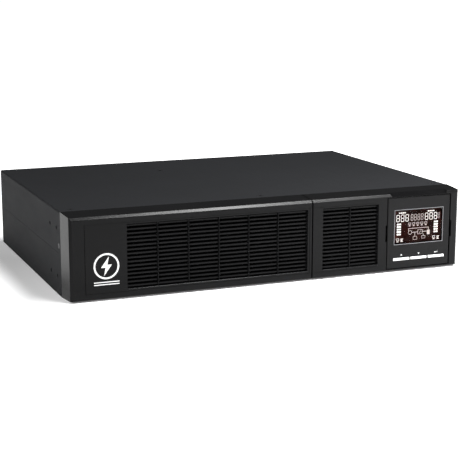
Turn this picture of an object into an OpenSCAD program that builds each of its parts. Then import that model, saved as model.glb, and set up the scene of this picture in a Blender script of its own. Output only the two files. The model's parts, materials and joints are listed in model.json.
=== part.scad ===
// Two-unit rack or tower uninterruptible power supply.
// +X is to the right as seen from the front, the front faces -Y and +Z is up.
// The origin is at the bottom centre of the whole object's box.

/* [Case] */
// Width of the steel case
case_w = 438; // [430:0.5:440]
// Height of the steel case
case_h = 86.5; // [86:0.1:88]
// Depth from the face of the bezels to the rear panel
total_d = 310; // [306:1:330]
// Thickness of the sheet steel
sheet = 1.2; // [1:0.1:1.5]
// Height of the lap seam along the sides
lap_z = 43.2; // [42:0.1:45]
// Outer radius of the cover's folded edges
bend_r = 1.8; // [1.6:0.1:2.4]
// How far the rear fittings stand out
rear_out = 6; // [6:0.5:8]

/* [Bezels] */
// Depth of the plastic bezels in front of the case
bezel_d = 29; // [28:0.5:32]
// How far each bezel draws in from the case to its face
taper = 1.6; // [1:0.1:2]
// Size of the edge between the face and the sides
edge = 2.6; // [2:0.1:3]
// Wall thickness of the mouldings
wall = 2.2; // [2:0.1:2.6]
// Distance of the seam between the bezels from the left side
seam_x = 260.6; // [258:0.2:262]
// Width of the seam
seam_gap = 1.4; // [1:0.1:1.8]

/* [Grilles] */
// Distance from one louvre to the next
bar_pitch = 4.07; // [4:0.01:4.1]
// Height of a louvre's front edge
bar_h = 2.1; // [1.8:0.1:2.2]
// Number of louvres
bars = 16; // [14:1:16]
// Width of one column of louvres
column_w = 32.6; // [32:0.1:32.8]
// Width of an upright rib between the columns
rib_w = 1.4; // [1:0.1:2]
// Depth of the louvres behind the face
bar_back = 3.2; // [2:0.1:4]

/* [Display] */
// Width of the display module
display_w = 75.8; // [75:0.1:76]
// Height of the display module
display_h = 77.2; // [76:0.1:77.4]
// Depth of the display module
display_d = 20; // [18:0.5:21]
// Distance from the left side of the case to the middle of the module
display_x = 387.2; // [386:0.1:388]
// Width of the display window
window_w = 60; // [58:0.5:61]
// Height of the display window
window_h = 38.2; // [36:0.2:39]
// Height of the window's middle
window_z = 48.7; // [48:0.1:50]
// Length of a button
button_w = 19.4; // [18:0.1:20]
// Height of a button
button_h = 2.5; // [2:0.1:3]
// Height of the buttons' middle
button_z = 13.8; // [13:0.1:15]
// Travel of a button
button_travel = 0.8; // [0.5:0.1:1]

/* [Battery] */
// Length of a battery block
battery_l = 151; // [150:0.5:151.5]
// Thickness of a battery block
battery_t = 65; // [64:0.5:66]
// Height of a battery block, without its tabs
battery_h = 94; // [93:0.5:94.5]

/* [Rear] */
// Size of the square fan
fan_w = 80; // [80:1:80]
// Depth of the fan
fan_d = 25; // [20:1:25]
// Distance of the fan's middle from the middle of the case
fan_x = 160; // [158:1:170]
// Distance between the rack-ear screws along the side
ear_dy = 26; // [24:0.5:28]
// Distance between the rack-ear screws up the side
ear_dz = 49.2; // [48:0.2:50]
// Radius of the rack-ear screw holes
ear_r = 2; // [1.8:0.1:2.2]

/* [Hidden] */
$fn = 48;
eps = 0.01;
half_w = case_w / 2;
button_proud = 0.4;
y_front = (button_proud - total_d - rear_out) / 2;
y_case = y_front + bezel_d;
bezel_back = y_case - 0.3;
y_rear = y_front + total_d;
case_d = y_rear - y_case;
seam_mid = seam_x - half_w;
left_end = seam_mid - seam_gap / 2;
right_start = seam_mid + seam_gap / 2;
face_top = case_h - taper - edge;
grille_h = bars * bar_pitch;
grille_z = 10.1;
grille_left_x = 59.6 - half_w;
grille_right_x = 272.7 - half_w;
grille_d = 9;
louvre_d = 3.6;
filter_t = 2.4;
display_mid = display_x - half_w;
display_z = 3.9;
pocket_gap = 1.1;
notch_z = 34;
notch_h = 18;
notch_w = 1.5;
button_xs = [366.7 - half_w, 387.9 - half_w, 409.3 - half_w];
button_fit = 0.3;
ear_y = y_front + 57.1;
ear_z = 43.5;
flange_in = half_w - sheet;
tab_out = flange_in - 0.2;
tab_in = tab_out - sheet;
tab_top = 58;
screw_r = 1.5;
divider_x = 39.4;
bay_left = -tab_in;
tray_x0 = bay_left + 1.4;
tray_x1 = divider_x - 1.4;
tray_z = sheet + 0.4;
tray_y0 = y_case + 1;
tray_t = 1;
tab_len = 6;
tray_y1 = tray_y0 + 2 * tray_t + 2 * (battery_h + tab_len);
tray_wall_h = 30;
battery_z = tray_z + tray_t;
rail_z = 72.5;
catch_z = 79.3;
catch_xs = [-195, -115, -35, 25];
stud_r = 1.95;
catch_r = 2.05;
plug_x = -12;
plug_y = y_case - 5;
fan_z = case_h / 2;
fan_hole = 71.5 / 2;
fan_y = y_rear - sheet - fan_d;
fan_bore = 38;
inlet_x = 96;
upper_z = 62;
lower_z = 25;
outlet_xs = [24, 60];
port_z = 68;
usb_x = -66;
serial_x = -102;
network_x = -36;
epo_x = -134;
slot_x = -74;
slot_z = 27;
slot_w = 118;
slot_h = 40;
board_z = 9;
board_t = 1.6;
board_x0 = 50;
board_x1 = 208;
board_y0 = y_case + 20;
board_y1 = fan_y - 26;
part_z = board_z + board_t + 0.02;
nut_t = 2.4;
side_screw_y = y_front + 35.9;
side_screw_z = 51;
foot_screw_xs = [-200, -100, 0];
foot_screw_y = y_rear - sheet - 5;
clamp_screw_xs = [-140, -120];
clamp_screw_z = 22;
lead_xs = [plug_x + 7, plug_x + 15];
battery_x0 = tray_x0 + tray_t;
battery_y0 = tray_y0 + tray_t + tab_len;
side_x0 = battery_x0 + battery_l + 0.4;
side_y0 = tray_y0 + 24;
mains_pins = [[-7, 2], [0, -2], [7, 2]];
earth_x = -205;
earth_z = 14;

// Flush screws in the top, as [x, y].
top_screws_at = [[13.6 - half_w, y_front + 39.6], [218 - half_w, y_front + 39.6],
    [425 - half_w, y_front + 39.6], [174 - half_w, y_front + 237]];

// Screws that hold the right bezel to the front plate, as [x, z].
bezel_screws_at = [[52, 76], [52, 10], [126.6, 76], [126.6, 10], [212, 70], [212, 16]];

// Screw posts of the display board, as [x, z].
display_posts = [for (i = [-1, 1],
    k = [-1, 1]) [display_mid + i * 33.5, display_z + display_h / 2 + k * 34]];

// Corners of the main board's screw posts, as [x, y].
posts_at = [for (x = [board_x0 + 6, board_x1 - 6], y = [board_y0 + 6, board_y1 - 6]) [x, y]];

// A block given by its lowest and highest corners.
module block(a, b) {
    translate(a)
        cube(b - a);
}

// A rod along +Y starting at p.
module rod_y(p, r, l, sides = 48) {
    translate(p)
        rotate([-90, 0, 0])
            cylinder(r = r, h = l, $fn = sides);
}

// A rod along +X starting at p.
module rod_x(p, r, l) {
    translate(p)
        rotate([0, 90, 0])
            cylinder(r = r, h = l);
}

// A shape drawn in X and Z, extruded towards the rear from y.
module extrude_y(y, l) {
    translate([0, y + l, 0])
        rotate([90, 0, 0])
            linear_extrude(l)
                children();
}

// A shape drawn in Y and Z, extruded to the right from x.
module extrude_x(x, l) {
    translate([x, 0, 0])
        rotate([90, 0, 90])
            linear_extrude(l)
                children();
}

// The four rack-ear screw places of one side, as [y, z].
function ear_places() = [for (i = [-1, 1], k = [-1, 1]) [ear_y + i * ear_dy / 2, ear_z + k * ear_dz / 2]];

// The rack-ear holes, through both sides of the case.
module ear_holes() {
    for (p = ear_places())
        rod_x([-half_w - 5, p[0], p[1]], ear_r, case_w + 10);
}

// The cone of a flush screw's head, with its rim at z = 0.
module flush_head(grow = 0) {
    translate([0, 0, -sheet - grow])
        cylinder(r1 = screw_r + grow, r2 = screw_r + sheet + 2 * grow, h = sheet + grow + eps);
}

// A flush screw pointing down, with its head's face at z = 0 and a socket in it.
module flush_screw(length) {
    difference() {
        union() {
            flush_head();
            translate([0, 0, -length])
                cylinder(r = screw_r, h = length - sheet + eps);
        }
        translate([0, 0, -0.8])
            cylinder(r = 1, h = 1, $fn = 6);
    }
}

// ---------------------------------------------------------------- steel case

module base_tray() {
    color([0.15, 0.16, 0.17])
        difference() {
            union() {
                block([-half_w, y_case, 0], [half_w, y_rear, sheet]);
                for (side = [-1, 1])
                    scale([side, 1, 1]) {
                        block([flange_in, y_case, 0], [half_w, y_rear, lap_z]);
                        block([tab_in, y_case, lap_z - sheet], [half_w, y_rear, lap_z]);
                        block([tab_in, y_case, lap_z - sheet], [tab_out, y_rear, tab_top]);
                    }
            }
            ear_holes();
            rod_x([-half_w - 5, side_screw_y, side_screw_z], screw_r + 0.1, case_w + 10);
            for (x = foot_screw_xs)
                translate([x, foot_screw_y, -1])
                    cylinder(r = screw_r + 0.1, h = sheet + 2);
            for (i = [0:11])
                block([60 + i * 11, 20, -1], [64 + i * 11, 60, sheet + 1]);
        }
}

// The cover's folded outline in X and Z: a top and two flanges with rounded folds.
module cover_outline() {
    fold_z = case_h - bend_r;
    fold_x = half_w - bend_r;
    translate([-fold_x, case_h - sheet])
        square([2 * fold_x, sheet]);
    for (side = [-1, 1])
        scale([side, 1]) {
            translate([flange_in, lap_z + 0.3])
                square([sheet, fold_z - lap_z - 0.3]);
            intersection() {
                translate([fold_x, fold_z])
                    difference() {
                        circle(r = bend_r);
                        circle(r = bend_r - sheet);
                    }
                translate([fold_x, fold_z])
                    square(bend_r);
            }
        }
}

module top_cover() {
    color([0.14, 0.15, 0.17])
        difference() {
            extrude_y(y_case, case_d)
                cover_outline();
            ear_holes();
            for (p = top_screws_at)
                translate([p[0], p[1], case_h])
                    flush_head(0.1);
            for (side = [-1, 1])
                scale([side, 1, 1])
                    translate([half_w, side_screw_y, side_screw_z])
                        rotate([0, 90, 0])
                            flush_head(0.1);
        }
}

// Holes for the flush screws in the lips under the cover.
module top_screw_holes() {
    for (p = top_screws_at)
        translate([p[0], p[1], case_h - 8])
            cylinder(r = screw_r + 0.1, h = 9);
}

// A field of upright slots, cut along Y.
module vent_slots(x0, z0, columns, rows, w, h, dx, dz, y) {
    for (i = [0:columns - 1], k = [0:rows - 1])
        block([x0 + i * dx, y - 2, z0 + k * dz], [x0 + i * dx + w, y + 4, z0 + k * dz + h]);
}

module connector_cut(x, z, w, h) {
    block([x - w / 2, y_rear - 5, z - h / 2], [x + w / 2, y_rear + 1, z + h / 2]);
}

module rear_panel() {
    y0 = y_rear - sheet;
    color([0.12, 0.12, 0.13])
        difference() {
            union() {
                block([-tab_in + 0.2, y0, sheet + 0.1], [tab_in - 0.2, y_rear, case_h - sheet - 0.1]);
                block([-tab_in + 0.2, y0 - 10, sheet + 0.1], [fan_x - 42, y_rear, 2 * sheet + 0.1]);
            }
            rod_y([fan_x, y0 - 1, fan_z], fan_bore, sheet + 2);
            for (i = [-1, 1], k = [-1, 1])
                rod_y([fan_x + i * fan_hole, y0 - 1, fan_z + k * fan_hole], 2.2, sheet + 2);
            connector_cut(inlet_x, upper_z, 27.6, 20.2);
            rod_y([inlet_x, y0 - 1, lower_z], 6.1, sheet + 2);
            for (x = outlet_xs, z = [lower_z, upper_z])
                connector_cut(x, z, 27.6, 20.2);
            connector_cut(usb_x, port_z, 12.4, 11.4);
            connector_cut(serial_x, port_z, 20.4, 11.4);
            connector_cut(network_x, port_z, 29.4, 14.4);
            connector_cut(epo_x, port_z, 12.6, 9.6);
            connector_cut(slot_x, slot_z, slot_w - 16, slot_h - 8);
            for (side = [-1, 1])
                rod_y([slot_x + side * (slot_w / 2 - 4), y0 - 1, slot_z], 1.6, sheet + 2);
            rod_y([earth_x, y0 - 1, earth_z], 2.1, sheet + 2);
            vent_slots(-208, 26, 8, 3, 3, 14, 7, 18, y0);
            for (x = foot_screw_xs)
                translate([x, foot_screw_y, 0])
                    cylinder(r = screw_r + 0.1, h = 10);
        }
}

module rear_panel_screws() {
    color([0.35, 0.35, 0.37])
        for (x = foot_screw_xs)
            translate([x, foot_screw_y, 0.1]) {
                translate([0, 0, 2 * sheet + 0.1])
                    cylinder(r = 3, h = 1.8, $fn = 6);
                cylinder(r = screw_r, h = 3);
            }
}

module front_plate() {
    color([0.3, 0.31, 0.33])
        difference() {
            union() {
                block([divider_x, y_case, sheet + 0.1],
                    [tab_in - 0.2, y_case + sheet, case_h - sheet - 0.1]);
                block([divider_x + sheet + 0.2, y_case, sheet + 0.1],
                    [tab_in - 0.2, y_case + 12, 2 * sheet + 0.1]);
                block([divider_x, y_case, case_h - 2 * sheet - 0.1],
                    [tab_in - 0.2, y_case + 14, case_h - sheet - 0.1]);
            }
            top_screw_holes();
            vent_slots(58, 14, 12, 3, 3, 16, 5.2, 20, y_case);
            block([display_mid - 20, y_case - 1, 30], [display_mid + 20, y_case + 2, 60]);
            for (p = bezel_screws_at)
                rod_y([p[0], y_case - 1, p[1]], screw_r + 0.1, 4);
        }
}

module bezel_screws() {
    color([0.5, 0.5, 0.52])
        for (p = bezel_screws_at) {
            rod_y([p[0], y_case - 8, p[1]], screw_r, 8 + sheet + eps);
            rod_y([p[0], y_case + sheet, p[1]], 3, 2);
        }
}

module front_rail() {
    color([0.3, 0.31, 0.33])
        difference() {
            union() {
                block([-tab_in + 0.2, y_case, rail_z],
                    [divider_x - 0.2, y_case + sheet, case_h - sheet - 0.1]);
                block([-tab_in + 0.2, y_case, case_h - 2 * sheet - 0.1],
                    [divider_x - 0.2, y_case + 14, case_h - sheet - 0.1]);
            }
            top_screw_holes();
            for (x = catch_xs)
                rod_y([x, y_case - 1, catch_z], 3.2, 4);
            block([plug_x - 0.2, y_case - 1, rail_z - 1], [plug_x + 22.2, y_case + 3, 83]);
        }
}

// Sprung sockets that the left bezel's studs push into.
module panel_catches() {
    color([0.85, 0.85, 0.82])
        for (x = catch_xs)
            difference() {
                union() {
                    rod_y([x, y_case - 1.5, catch_z], 4.2, 1.5);
                    rod_y([x, y_case - 1.5, catch_z], 3.15, 9);
                }
                rod_y([x, y_case - 2, catch_z], catch_r, 10);
            }
}

module bay_divider() {
    color([0.55, 0.56, 0.58])
        difference() {
            union() {
                block([divider_x, y_case + sheet + 0.1, sheet + 0.1], [divider_x + sheet, y_rear - 16, 80]);
                block([divider_x, y_case + 14, sheet + 0.1], [divider_x + 9, y_rear - 16, 2 * sheet + 0.1]);
            }
            for (i = [0:5])
                block([divider_x - 1, -90 + i * 34, 62], [divider_x + 2, -70 + i * 34, 72]);
        }
}

module bay_stop() {
    y0 = tray_y1 + 2;
    color([0.55, 0.56, 0.58])
        difference() {
            union() {
                block([-tab_in + 0.2, y0, sheet + 0.1],
                    [divider_x - 0.2, y0 + sheet, case_h - sheet - 0.1]);
                block([-tab_in + 0.2, y0, sheet + 0.1], [divider_x - 0.2, y0 + 10, 2 * sheet + 0.1]);
                block([-tab_in + 0.2, y0, case_h - 2 * sheet - 0.1],
                    [divider_x - 0.2, y0 + 10, case_h - sheet - 0.1]);
            }
            top_screw_holes();
            vent_slots(-190, 12, 13, 2, 5, 20, 16, 26, y0);
        }
}

// Nuts pressed into the sides behind the rack-ear holes.
module ear_nuts() {
    color([0.6, 0.6, 0.62])
        for (side = [-1, 1], p = ear_places())
            difference() {
                scale([side, 1, 1])
                    rod_x([flange_in - 0.02 - nut_t, p[0], p[1]], 3.6, nut_t);
                rod_x([-half_w, p[0], p[1]], ear_r, case_w);
            }
}

module side_screws() {
    color([0.2, 0.2, 0.21])
        for (side = [-1, 1])
            scale([side, 1, 1])
                translate([half_w - 0.05, side_screw_y, side_screw_z])
                    rotate([0, 90, 0])
                        flush_screw(3.1);
}

module top_screws() {
    color([0.2, 0.2, 0.21])
        for (p = top_screws_at)
            translate([p[0], p[1], case_h - 0.05])
                flush_screw(5);
}

// ------------------------------------------------------------------- bezels

// Side outline of the bezels in Y and Z, drawn in by "inset" on the outside.
module bezel_side_outline(inset) {
    face = y_front + inset;
    polygon([
        [face, taper + inset + 1], [face + 1, taper + inset], [bezel_back, inset],
        [bezel_back, case_h - inset], [face + edge, case_h - taper - inset + 0.1],
        [face, face_top - inset * 0.5]
    ]);
}

// Plan outline of the bezels in X and Y, drawn in by "inset" on the outside.
module bezel_plan_outline(inset) {
    out = half_w - inset;
    face = y_front + inset;
    polygon([
        [-out, bezel_back], [-out + taper, face + edge], [-out + taper + edge, face],
        [out - taper - edge, face], [out - taper, face + edge], [out, bezel_back]
    ]);
}

module bezel_block(inset) {
    intersection() {
        extrude_x(-half_w, case_w)
            bezel_side_outline(inset);
        linear_extrude(case_h)
            bezel_plan_outline(inset);
    }
}

// The shell of one bezel between two x positions, with closed ends at the seam.
module bezel_shell(x0, x1, seam_left, seam_right) {
    difference() {
        intersection() {
            bezel_block(0);
            block([x0, y_front - 1, -1], [x1, y_case, case_h + 1]);
        }
        intersection() {
            translate([0, eps, 0])
                bezel_block(wall);
            block([x0 + (seam_left ? wall : -1), y_front, -1],
                [x1 - (seam_right ? wall : -1), y_case + 1, case_h + 1]);
        }
    }
}

// The frame around a grille's opening, behind the face.
module grille_collar(x0, columns) {
    w = columns * column_w;
    block([x0 - wall, y_front + 1, grille_z - wall],
        [x0 + w + wall, y_front + grille_d, grille_z + grille_h + wall]);
}

module grille_opening(x0, columns) {
    block([x0, y_front - 1, grille_z],
        [x0 + columns * column_w, y_front + grille_d + 1, grille_z + grille_h]);
}

// Louvres with eased front edges, and upright ridged ribs between their columns.
module louvres(x0, columns) {
    w = columns * column_w;
    y0 = y_front + bar_back;
    ease = 0.5;
    half_rib = rib_w / 2;
    gap = bar_pitch - bar_h;
    for (i = [0:bars - 1])
        extrude_x(x0 - eps, w + 2 * eps)
            translate([y0, grille_z + gap / 2 + i * bar_pitch])
                polygon([[0, ease], [0, bar_h - 1.4 * ease], [1.2 * ease, bar_h], [louvre_d, bar_h],
                    [louvre_d, 0], [ease, 0]]);
    for (c = [1:columns - 1])
        translate([x0 + c * column_w, 0, grille_z - eps])
            linear_extrude(grille_h + 2 * eps)
                polygon([[-half_rib, y_front + grille_d - 1], [-half_rib, y_front + 1.4],
                    [-0.3 * half_rib, y_front + 0.8], [half_rib, y_front + 2.2],
                    [half_rib, y_front + grille_d - 1]]);
}

// Foam pad on the back of a grille's frame, cut away round the screw posts.
module filter_pad(x0, columns) {
    rim = 0.4;
    color([0.05, 0.05, 0.05])
        difference() {
            block([x0 - rim, y_front + grille_d, grille_z - rim],
                [x0 + columns * column_w + rim, y_front + grille_d + filter_t, grille_z + grille_h + rim]);
            for (p = bezel_screws_at)
                rod_y([p[0], y_front, p[1]], 3.9, bezel_d);
        }
}

// Fine lines pressed into the face, above and below the grilles.
module face_lines(x0, x1) {
    for (z = [8, 77.2])
        block([x0, y_front - 1, z - 0.25], [x1, y_front + 0.4, z + 0.25]);
}

module left_bezel() {
    plate_x = 16.5 - half_w;
    color([0.13, 0.13, 0.14])
        union() {
            difference() {
                union() {
                    bezel_shell(-half_w - 1, left_end, false, true);
                    grille_collar(grille_left_x, 6);
                }
                grille_opening(grille_left_x, 6);
                face_lines(plate_x, left_end + 1);
                block([plate_x - 0.45, y_front - 1, 8], [plate_x + 0.45, y_front + 0.8, 77.2]);
                block([left_end - 2.9, y_front - 1, 8], [left_end - 2.3, y_front + 0.5, 77.2]);
            }
            louvres(grille_left_x, 6);
            for (x = catch_xs) {
                rod_y([x, y_front + wall, catch_z], 3.6, bezel_d - wall - 2.5);
                rod_y([x, y_front + wall, catch_z], stud_r, bezel_d - wall + 5);
            }
        }
}

module door_filter() {
    filter_pad(grille_left_x, 6);
}

// The dip in the top of the bezel above the display module.
module display_scoop() {
    half = 33;
    intersection() {
        extrude_x(display_mid - half - 4, 2 * half + 8)
            polygon([[y_front - 1, face_top - 0.3], [y_front, face_top - 0.3], [y_front + 13, case_h + 0.2],
                [y_front + 13, case_h + 3], [y_front - 1, case_h + 3]]);
        extrude_y(y_front - 2, 18)
            polygon([[display_mid - half, face_top - 0.4], [display_mid + half, face_top - 0.4],
                [display_mid + half + 3, case_h + 1], [display_mid - half - 3, case_h + 1]]);
    }
}

module right_bezel() {
    pocket_w = display_w + 2 * pocket_gap;
    pocket_h = display_h + 2 * 0.5;
    px = display_mid - pocket_w / 2;
    pz = display_z - 0.5;
    color([0.17, 0.17, 0.18])
        union() {
            difference() {
                union() {
                    bezel_shell(right_start, half_w + 1, true, false);
                    grille_collar(grille_right_x, 2);
                    for (x = [px - 3.4, px + pocket_w + 1.6])
                        block([x, y_front + 1, 4], [x + 1.8, y_case - 4, 80]);
                    for (p = bezel_screws_at)
                        rod_y([p[0], y_front + 1.5, p[1]], 3.6, bezel_d - 1.5);
                }
                grille_opening(grille_right_x, 2);
                block([px, y_front - 1, pz], [px + pocket_w, y_front + display_d + 2, pz + pocket_h]);
                block([px - notch_w, y_front - 1, notch_z],
                    [px + pocket_w + notch_w, y_front + 8, notch_z + notch_h]);
                display_scoop();
                face_lines(right_start - 1, px - 12);
                for (p = bezel_screws_at)
                    rod_y([p[0], y_case - 12, p[1]], screw_r - 0.02, 13);
            }
            louvres(grille_right_x, 2);
        }
}

module bezel_filter() {
    filter_pad(grille_right_x, 2);
}

// ----------------------------------------------------------- display module

// The openings for the buttons and the window in the module's face.
module display_cuts() {
    block([display_mid - window_w / 2, y_front - 1, window_z - window_h / 2],
        [display_mid + window_w / 2, y_front + 1.2, window_z + window_h / 2]);
    block([display_mid - window_w / 2 + 1.5, y_front - 1, window_z - window_h / 2 + 1.5],
        [display_mid + window_w / 2 - 1.5, y_front + 6, window_z + window_h / 2 - 1.5]);
    for (x = button_xs)
        block([x - button_w / 2 - button_fit, y_front - 1, button_z - button_h / 2 - button_fit],
            [x + button_w / 2 + button_fit, y_front + 6, button_z + button_h / 2 + button_fit]);
}

module display_housing() {
    x0 = display_mid - display_w / 2;
    z0 = display_z;
    rim = 0.6;
    color([0.2, 0.2, 0.21])
        difference() {
            intersection() {
                extrude_x(x0, display_w)
                    polygon([[y_front, z0 + rim], [y_front + rim, z0], [y_front + display_d, z0],
                        [y_front + display_d, z0 + display_h], [y_front + rim, z0 + display_h],
                        [y_front, z0 + display_h - rim]]);
                linear_extrude(case_h)
                    polygon([[x0, y_front + rim], [x0 + rim, y_front], [x0 + display_w - rim, y_front],
                        [x0 + display_w, y_front + rim], [x0 + display_w, y_front + display_d],
                        [x0, y_front + display_d]]);
            }
            difference() {
                block([x0 + 2, y_front + 2.4, z0 + 2],
                    [x0 + display_w - 2, y_front + display_d + 1, z0 + display_h - 2]);
                for (p = display_posts)
                    rod_y([p[0], y_front, p[1]], 2.6, 11);
            }
            display_cuts();
            for (p = display_posts)
                rod_y([p[0], y_front + 5, p[1]], 1.1, 10);
        }
}

module display_window() {
    color([0.1, 0.07, 0.06, 0.8])
        block([display_mid - window_w / 2 + 0.1, y_front + 0.1, window_z - window_h / 2 + 0.1],
            [display_mid + window_w / 2 - 0.1, y_front + 1.2, window_z + window_h / 2 - 0.1]);
}

module lcd_panel() {
    color([0.12, 0.05, 0.04])
        block([display_mid - 28, y_front + 2.6, window_z - 17],
            [display_mid + 28, y_front + 10.9, window_z + 17]);
}

module display_board() {
    color([0.1, 0.35, 0.2])
        difference() {
            union() {
                block([display_mid - 35.5, y_front + 11, display_z + 2.6],
                    [display_mid + 35.5, y_front + 12.6, display_z + display_h - 2.6]);
                block([display_mid - 10, y_front + 12.6, 58], [display_mid + 10, y_front + 17, 64]);
                for (x = button_xs)
                    block([x - 3, y_front + 8.2, button_z - 3], [x + 3, y_front + 11, button_z + 3]);
            }
            for (p = display_posts)
                rod_y([p[0], y_front + 10, p[1]], 1.3, 4);
        }
}

module display_screws() {
    color([0.6, 0.6, 0.62])
        for (p = display_posts) {
            rod_y([p[0], y_front + 7, p[1]], 1.05, 5.6 + eps);
            rod_y([p[0], y_front + 12.6, p[1]], 2.3, 1.6);
        }
}

// The folded flat lead from the display board towards the control card.
module display_ribbon() {
    y0 = y_front + 17;
    color([0.75, 0.75, 0.72])
        union() {
            block([display_mid - 9, y0, 58], [display_mid + 9, y0 + 0.8, 64]);
            block([display_mid - 9, y0, 36], [display_mid + 9, y0 + 0.8, 64]);
            block([display_mid - 9, y0, 36], [display_mid + 9, y0 + 5, 36.8]);
            block([display_mid - 9, y0 + 4.2, 36], [display_mid + 9, y0 + 5, 56]);
        }
}

// One bar button with the stem that works its switch.
module bar_button(x) {
    rear = y_front + 8.2 - button_travel - 0.1;
    color([0.93, 0.93, 0.93])
        union() {
            block([x - button_w / 2, y_front - button_proud, button_z - button_h / 2],
                [x + button_w / 2, y_front + 4.6, button_z + button_h / 2]);
            block([x - button_w / 2 - 0.6, y_front + 3.4, button_z - button_h / 2 + 0.3],
                [x + button_w / 2 - 0.3, y_front + 4.6, button_z + button_h / 2 - 0.3]);
            rod_y([x, y_front + 4, button_z], 1, rear - y_front - 4);
        }
}

module button_up() {
    bar_button(button_xs[0]);
}

module button_down() {
    bar_button(button_xs[1]);
}

module button_enter() {
    bar_button(button_xs[2]);
}

// ------------------------------------------------------------- battery pack

module battery_tray() {
    color([0.7, 0.71, 0.73])
        difference() {
            union() {
                block([tray_x0, tray_y0, tray_z], [tray_x1, tray_y1, tray_z + tray_t]);
                for (x = [tray_x0, tray_x1 - tray_t])
                    block([x, tray_y0, tray_z], [x + tray_t, tray_y1, tray_z + tray_wall_h]);
                for (y = [tray_y0, tray_y1 - tray_t])
                    block([tray_x0, y, tray_z], [tray_x1, y + tray_t, tray_z + tray_wall_h]);
            }
            for (i = [0:6])
                block([-190 + i * 30, -60, tray_z - 1], [-178 + i * 30, 30, tray_z + 2]);
            clamp_holes();
        }
}

// The clamp's screw holes, through the tray's front and rear walls.
module clamp_holes() {
    for (x = clamp_screw_xs)
        rod_y([x, tray_y0 - 5, clamp_screw_z], screw_r + 0.1, tray_y1 - tray_y0 + 10);
}

// Two blocks lie across the tray one behind the other, and the third lies along its right side.
module battery_blocks() {
    z1 = battery_z + battery_t;
    color([0.25, 0.26, 0.28]) {
        block([battery_x0, battery_y0, battery_z + 0.02],
            [battery_x0 + battery_l, battery_y0 + battery_h - 0.2, z1]);
        block([battery_x0, battery_y0 + battery_h, battery_z + 0.02],
            [battery_x0 + battery_l, battery_y0 + 2 * battery_h - 0.2, z1]);
        block([side_x0, side_y0, battery_z + 0.02], [side_x0 + battery_h - 0.2, side_y0 + battery_l, z1]);
    }
}

// Two push-on tabs on each block.
module battery_tabs() {
    y_a = battery_y0;
    y_b = battery_y0 + 2 * battery_h - 0.2;
    x_c = side_x0 + battery_h - 0.2;
    color([0.75, 0.72, 0.6])
        for (k = [10, battery_t - 10]) {
            z = battery_z + k;
            block([battery_x0 + 12, y_a - 5, z - 2.4], [battery_x0 + 12.8, y_a, z + 2.4]);
            block([battery_x0 + 12, y_b, z - 2.4], [battery_x0 + 12.8, y_b + 5, z + 2.4]);
            block([x_c, side_y0 + 12, z - 2.4], [x_c + 4.2, side_y0 + 12.8, z + 2.4]);
        }
}

// Strap plate that holds the blocks down, screwed to the tray's front and rear walls.
module battery_clamp() {
    z1 = battery_z + battery_t;
    color([0.6, 0.61, 0.63])
        difference() {
            union() {
                block([-150, tray_y0, z1 + 0.02], [-110, tray_y1, z1 + 1.2]);
                for (y = [tray_y0 - 0.02 - 1, tray_y1 + 0.02])
                    block([-150, y, 12], [-110, y + 1, z1 + 1.2]);
                for (y = [tray_y0 - 1, tray_y1])
                    block([-150, y, z1 + 0.02], [-110, y + 1, z1 + 1.2]);
            }
            clamp_holes();
        }
}

module clamp_screws() {
    head = 1.4;
    color([0.6, 0.6, 0.62])
        for (x = clamp_screw_xs) {
            rod_y([x, tray_y0 - 1.04 - head, clamp_screw_z], 2.8, head);
            rod_y([x, tray_y0 - 1.04 - eps, clamp_screw_z], screw_r, 4);
            rod_y([x, tray_y1 + 1.04, clamp_screw_z], 2.8, 0.6);
            rod_y([x, tray_y1 - 2.96 + eps, clamp_screw_z], screw_r, 4);
        }
}

// Leads between the blocks and up to the plug at the front.
module battery_links() {
    r = 1.4;
    z = battery_z + battery_t - 10;
    x_end = side_x0 + battery_h + 1.9;
    y_bus = tray_y0 + tray_t + 2;
    color([0.6, 0.1, 0.1])
        union() {
            rod_y([x_end, y_bus, z], r, side_y0 + 12 - y_bus);
            rod_x([battery_x0 + 12.8, y_bus, z], r, x_end - battery_x0 - 12.8);
            for (x = lead_xs) {
                rod_y([x, plug_y - 7, z], r, y_bus - plug_y + 7);
                translate([x, plug_y - 7, z - r])
                    cylinder(r = r, h = 73.3 - z + r);
            }
        }
}

// The pack's half of the connector, mouth to mouth with the case's half.
module battery_plug() {
    color([0.35, 0.35, 0.37])
        difference() {
            block([plug_x + 1, plug_y - 12, 73.3], [plug_x + 21, plug_y - 0.3, 82.3]);
            for (x = lead_xs)
                rod_y([x, plug_y - 6, 77.8], 2.6, 7);
        }
}

module battery_receptacle() {
    color([0.35, 0.35, 0.37])
        difference() {
            block([plug_x, plug_y, 72.8], [plug_x + 22, y_case + 7, 82.8]);
            for (x = lead_xs)
                rod_y([x, plug_y - 1, 77.8], 2.6, 7);
        }
}

module tray_pull() {
    color([0.1, 0.1, 0.1])
        difference() {
            block([-60, tray_y0 - 12, 14], [-10, tray_y0 - 0.02, 24]);
            block([-54, tray_y0 - 8, 10], [-16, tray_y0 - 2, 30]);
        }
}

// ----------------------------------------------------------- rear fittings

module fan_frame() {
    hub = 17;
    color([0.08, 0.08, 0.08])
        difference() {
            union() {
                difference() {
                    block([fan_x - fan_w / 2, fan_y, fan_z - fan_w / 2],
                        [fan_x + fan_w / 2, fan_y + fan_d, fan_z + fan_w / 2]);
                    rod_y([fan_x, fan_y - 1, fan_z], fan_bore, fan_d + 2);
                }
                rod_y([fan_x, fan_y, fan_z], hub, 3);
                rod_y([fan_x, fan_y, fan_z], 2.5, fan_d - 4.5);
                for (a = [45, 135])
                    translate([fan_x, fan_y + 1.25, fan_z])
                        rotate([0, a, 0])
                            cube([2 * fan_bore + 1, 2.5, 4], center = true);
            }
            for (i = [-1, 1], k = [-1, 1])
                rod_y([fan_x + i * fan_hole, fan_y - 1, fan_z + k * fan_hole], 2.2, fan_d + 2);
        }
}

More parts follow.
